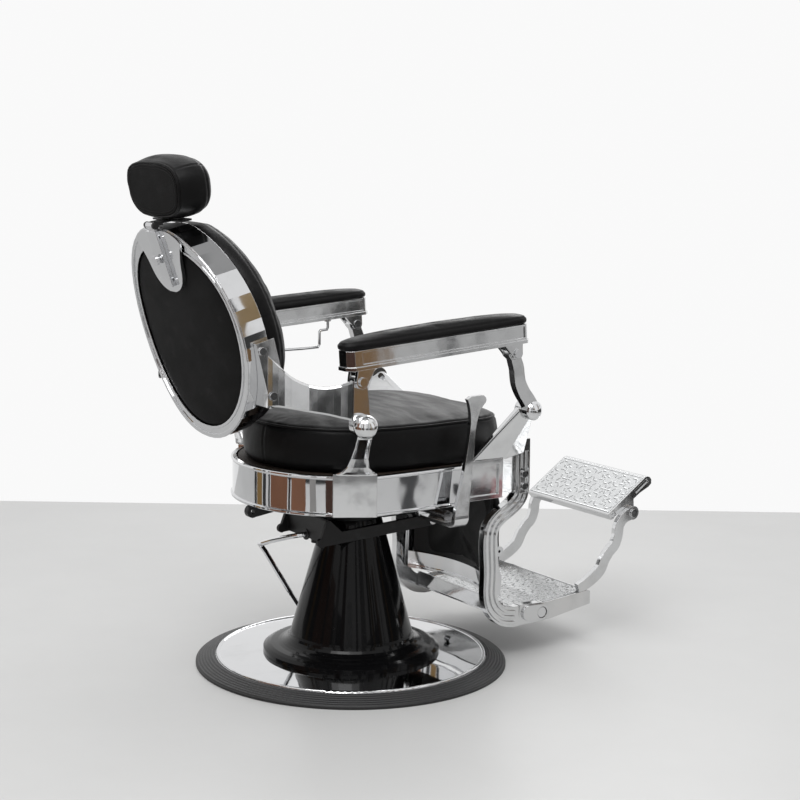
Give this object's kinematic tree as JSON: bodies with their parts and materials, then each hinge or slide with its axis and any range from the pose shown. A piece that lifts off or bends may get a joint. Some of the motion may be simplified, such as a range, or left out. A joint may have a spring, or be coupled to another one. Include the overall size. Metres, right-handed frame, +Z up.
{
  "type": "barber chair",
  "caption": "Hydraulic barber chair with a round floor base, lift column, reclining oval back, linked armrests, headrest and two-step footrest.",
  "frame": {"origin": "middle of the base on the floor, under the column axis", "axes": "+Z up along the column, the chair faces -Y, its left side is +X"},
  "size_m": [0.6699, 1.2033, 1.0849],
  "materials": {
    "rubber": "matt black, concentric grip ribs",
    "mirror_chrome": "mirror chrome plate",
    "gloss_black": "gloss black enamel",
    "black_steel": "semi-gloss black paint",
    "grey_iron": "oiled grey iron",
    "bright_steel": "turned bright steel",
    "chrome_trim": "bright chrome plate",
    "cast_metal": "polished and plated casting",
    "relief_metal": "bright casting with raised ornament",
    "black_leather": "black leatherette, soft satin",
    "plywood": "plywood, stained black"
  },
  "bodies": {
    "base": {"base_ring": "rubber", "base_plate": "mirror_chrome", "column_cover": "gloss_black", "pump_cylinder": "grey_iron", "cylinder_bolts": "bright_steel", "pump_head": "black_steel", "fork_pin": "bright_steel"},
    "pedal": {"pedal_fork": "black_steel", "pedal_rod": "chrome_trim", "pedal_sleeve": "rubber"},
    "plunger": {"pump_plunger": "bright_steel"},
    "lift": {"lift_ram": "bright_steel", "swivel_nut": "bright_steel"},
    "seat": {"seat_bracket": "black_steel", "seat_ring": "mirror_chrome", "seat_board": "plywood", "seat_cushion": "black_leather", "rear_post_right": "cast_metal", "rear_post_left": "cast_metal", "hip_pins": "chrome_trim", "front_casting_right": "cast_metal", "front_casting_left": "cast_metal", "front_apron": "cast_metal", "link_pins": "chrome_trim", "leg_casting_right": "cast_metal", "leg_casting_left": "cast_metal", "leg_bolts": "chrome_trim", "calf_shell": "chrome_trim", "calf_panel": "gloss_black", "calf_pad": "black_leather", "foot_pins": "chrome_trim"},
    "lever": {"recline_lever": "cast_metal", "lever_shaft": "bright_steel"},
    "back": {"back_frame": "mirror_chrome", "back_board": "plywood", "rear_panel": "black_leather", "back_cushion": "black_leather", "back_arm_right": "cast_metal", "back_arm_left": "cast_metal", "arm_bolts": "chrome_trim", "headrest_plate": "chrome_trim", "plate_screws": "chrome_trim"},
    "knob": {"clamp_knob": "chrome_trim"},
    "post": {"headrest_post": "bright_steel"},
    "headrest": {"headrest_bracket": "black_steel", "tilt_pin": "black_steel", "headrest_cushion": "black_leather"},
    "armrest_right": {"armrest_rail_right": "cast_metal", "arm_pad_right": "black_leather", "arm_pins_right": "chrome_trim"},
    "armrest_left": {"armrest_rail_left": "cast_metal", "arm_pad_left": "black_leather", "arm_pins_left": "chrome_trim", "towel_bar": "chrome_trim"},
    "link_right": {"front_link_right": "cast_metal"},
    "link_left": {"front_link_left": "cast_metal"},
    "footrest": {"foot_plate": "relief_metal", "foot_arms": "relief_metal", "step_pins": "chrome_trim"},
    "step": {"step_plate": "relief_metal"}
  },
  "joints": [
    {"name": "swivel", "type": "hinge", "parent": "lift", "child": "seat", "pos_m": [0, 0, 0.36], "axis": [0, 0, 1], "continuous": true},
    {"name": "lift", "type": "slide", "parent": "base", "child": "lift", "axis": [0, 0, 1], "range_m": [0, 0.15]},
    {"name": "pedal", "type": "hinge", "parent": "base", "child": "pedal", "pos_m": [0, -0.15, 0.309], "axis": [-1, 0, 0], "range_deg": [0, 6], "stiffness_Nm_per_rad": 70, "springref_deg": -11.46},
    {"name": "plunger", "type": "slide", "parent": "base", "child": "plunger", "axis": [0, 0, -1], "range_m": [0, 0.026]},
    {"name": "lever", "type": "hinge", "parent": "seat", "child": "lever", "pos_m": [-0.2, -0.082, 0.354], "axis": [-1, 0, 0], "range_deg": [0, 18], "stiffness_Nm_per_rad": 4, "springref_deg": -17.19},
    {"name": "recline", "type": "hinge", "parent": "seat", "child": "back", "pos_m": [0, 0.172, 0.573], "axis": [-1, 0, 0], "range_deg": [0, 30]},
    {"name": "armrest_right", "type": "hinge", "parent": "back", "child": "armrest_right", "pos_m": [-0.298, 0.177, 0.66], "axis": [-1, 0, 0], "range_deg": [-33, 0]},
    {"name": "armrest_left", "type": "hinge", "parent": "back", "child": "armrest_left", "pos_m": [0.298, 0.177, 0.66], "axis": [-1, 0, 0], "range_deg": [-33, 0]},
    {"name": "link_right", "type": "hinge", "parent": "seat", "child": "link_right", "pos_m": [-0.298, -0.244, 0.571], "axis": [-1, 0, 0], "range_deg": [0, 22.5]},
    {"name": "link_left", "type": "hinge", "parent": "seat", "child": "link_left", "pos_m": [0.298, -0.244, 0.571], "axis": [-1, 0, 0], "range_deg": [0, 22.5]},
    {"name": "knob", "type": "hinge", "parent": "back", "child": "knob", "pos_m": [0, 0.4471, 0.88473], "axis": [0, 0.9449, -0.3272], "range_deg": [0, 270]},
    {"name": "post", "type": "slide", "parent": "back", "child": "post", "axis": [0, 0.3272, 0.9449], "range_m": [0, 0.08]},
    {"name": "headrest", "type": "hinge", "parent": "post", "child": "headrest", "pos_m": [0, 0.47105, 0.9484], "axis": [-1, 0, 0], "range_deg": [-4, 30]},
    {"name": "footrest", "type": "hinge", "parent": "seat", "child": "footrest", "pos_m": [0, -0.383, 0.092], "axis": [-1, 0, 0], "range_deg": [0, 50]},
    {"name": "step", "type": "hinge", "parent": "footrest", "child": "step", "pos_m": [0, -0.663, 0.279], "axis": [-1, 0, 0], "range_deg": [-15, 20]}
  ],
  "couplings": [
    {"joint": "armrest_right", "follows": "recline", "ratio": -1.075},
    {"joint": "armrest_left", "follows": "recline", "ratio": -1.075},
    {"joint": "link_right", "follows": "recline", "ratio": 0.715},
    {"joint": "link_left", "follows": "recline", "ratio": 0.715},
    {"joint": "plunger", "follows": "pedal", "m_per_rad": 0.2445}
  ]
}
